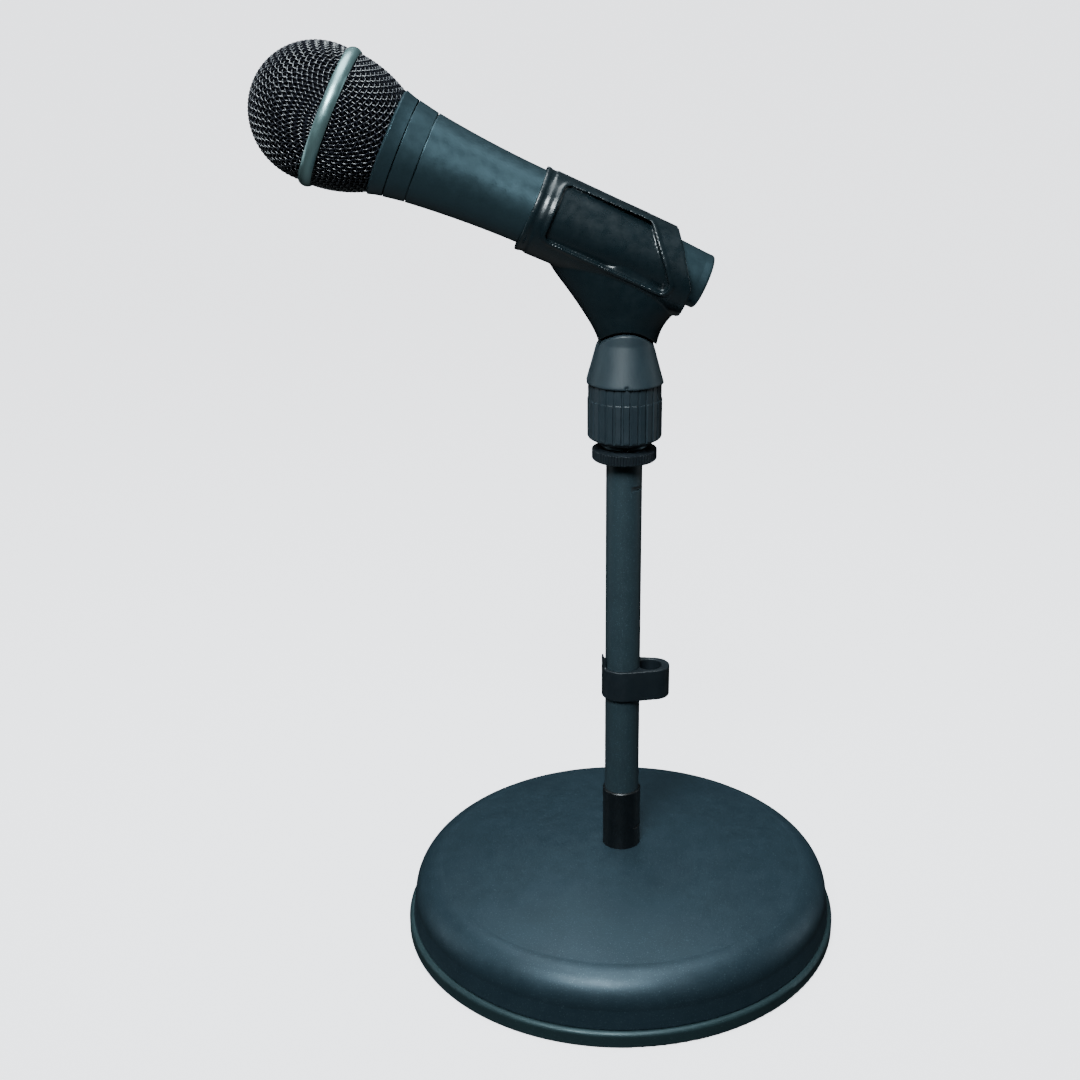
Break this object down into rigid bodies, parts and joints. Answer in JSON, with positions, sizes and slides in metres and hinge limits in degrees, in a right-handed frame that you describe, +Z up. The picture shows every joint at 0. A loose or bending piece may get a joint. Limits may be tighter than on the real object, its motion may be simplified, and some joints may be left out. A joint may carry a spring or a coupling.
{
  "type": "dynamic microphone on desk stand",
  "caption": "Handheld dynamic microphone with a domed wire grille, held in a tilting clip on a short pole with a round weighted desk base.",
  "frame": {"origin": "centre of the base's bottom face, on the pole's axis", "axes": "+Z up along the pole; the microphone lies in the XZ plane with its head towards -X and raised; +Y completes the right-handed frame"},
  "size_m": [0.2518, 0.2032, 0.4025],
  "materials": {
    "grille_wire": "black lacquered woven wire",
    "mic_ring": "satin grey-green lacquer",
    "mic_body": "satin dark grey lacquer",
    "foam": "open-cell foam",
    "capsule_plastic": "moulded",
    "copper_coil": "enamelled wire",
    "film": "thin clear film",
    "motor_steel": "zinc plated",
    "magnet": "nickel plated",
    "shock_rubber": "soft",
    "lead_cover": "insulated wire",
    "connector_plastic": "moulded",
    "contact_plate": "silver plated",
    "clip_plastic": "semi-gloss moulded",
    "yoke_plastic": "fine moulded texture",
    "hub_plastic": "moulded flutes",
    "brass": "turned",
    "adapter_metal": "dull nickel",
    "ring_metal": "black, knurled",
    "pole_paint": "fine powder coat",
    "ferrule_black": "smooth",
    "cable_clip_plastic": "springy moulding",
    "base_paint": "fine powder coat",
    "rim_paint": "satin",
    "iron": "as cast",
    "pad_rubber": "fine grip texture",
    "fastener_steel": "zinc plated"
  },
  "bodies": {
    "stand": {"pole_tube": "pole_paint", "threaded_stud": "fastener_steel", "ferrule": "ferrule_black", "base_cover": "base_paint", "base_rim": "rim_paint", "ballast_plate": "iron", "bottom_pad": "pad_rubber", "foot_plug": "fastener_steel", "clamp_bolt": "fastener_steel", "bolt_washer": "fastener_steel", "cover_screws": "fastener_steel"},
    "cable_clip": {"cable_clip": "cable_clip_plastic"},
    "lock_ring": {"lock_ring": "ring_metal"},
    "hub": {"ribbed_hub": "hub_plastic", "hub_insert": "brass", "thread_adapter": "adapter_metal", "swivel_yoke": "yoke_plastic", "tilt_pin": "fastener_steel"},
    "clip": {"clip_body": "clip_plastic"},
    "mic": {"handle": "mic_body", "trim_band": "mic_body", "shock_mount": "shock_rubber", "capsule_housing": "capsule_plastic", "resonator_cap": "capsule_plastic", "top_plate": "motor_steel", "pole_piece": "motor_steel", "magnet": "magnet", "magnet_yoke": "motor_steel", "signal_leads": "lead_cover", "xlr_insert": "connector_plastic", "xlr_pins": "contact_plate", "xlr_screw": "fastener_steel"},
    "coil": {"diaphragm": "film", "voice_coil": "copper_coil"},
    "liner": {"foam_windscreen": "foam"},
    "grille": {"front_grille": "grille_wire", "rear_grille": "grille_wire", "grille_ring": "mic_ring", "grille_collar": "mic_body"}
  },
  "joints": [
    {"name": "cable_clip_slide", "type": "slide", "parent": "stand", "child": "cable_clip", "axis": [0, 0, 1], "range_m": [-0.045, 0.09]},
    {"name": "lock_ring_turn", "type": "hinge", "parent": "stand", "child": "lock_ring", "pos_m": [0, 0, 0.2333], "axis": [0, 0, 1], "range_deg": [-60, 60]},
    {"name": "hub_turn", "type": "hinge", "parent": "stand", "child": "hub", "pos_m": [0, 0, 0.25], "axis": [0, 0, 1], "range_deg": [-180, 180]},
    {"name": "clip_tilt", "type": "hinge", "parent": "hub", "child": "clip", "pos_m": [0, 0, 0.272], "axis": [0, 1, 0], "range_deg": [-40, 45]},
    {"name": "mic_slide", "type": "slide", "parent": "clip", "child": "mic", "axis": [-0.9157, 0, 0.4019], "range_m": [0, 0.08]},
    {"name": "diaphragm_travel", "type": "slide", "parent": "mic", "child": "coil", "axis": [-0.9157, 0, 0.4019], "range_m": [-0.0003, 0.0003], "stiffness_N_per_m": 180},
    {"name": "grille_lift", "type": "slide", "parent": "mic", "child": "liner", "axis": [-0.9157, 0, 0.4019], "range_m": [0, 0.003]},
    {"name": "grille_unscrew", "type": "hinge", "parent": "liner", "child": "grille", "pos_m": [-0.09157, 0, 0.36129], "axis": [-0.9157, 0, 0.4019], "range_deg": [0, 1080]}
  ],
  "couplings": [
    {"joint": "grille_lift", "follows": "grille_unscrew", "m_per_rad": 0.00015915}
  ]
}
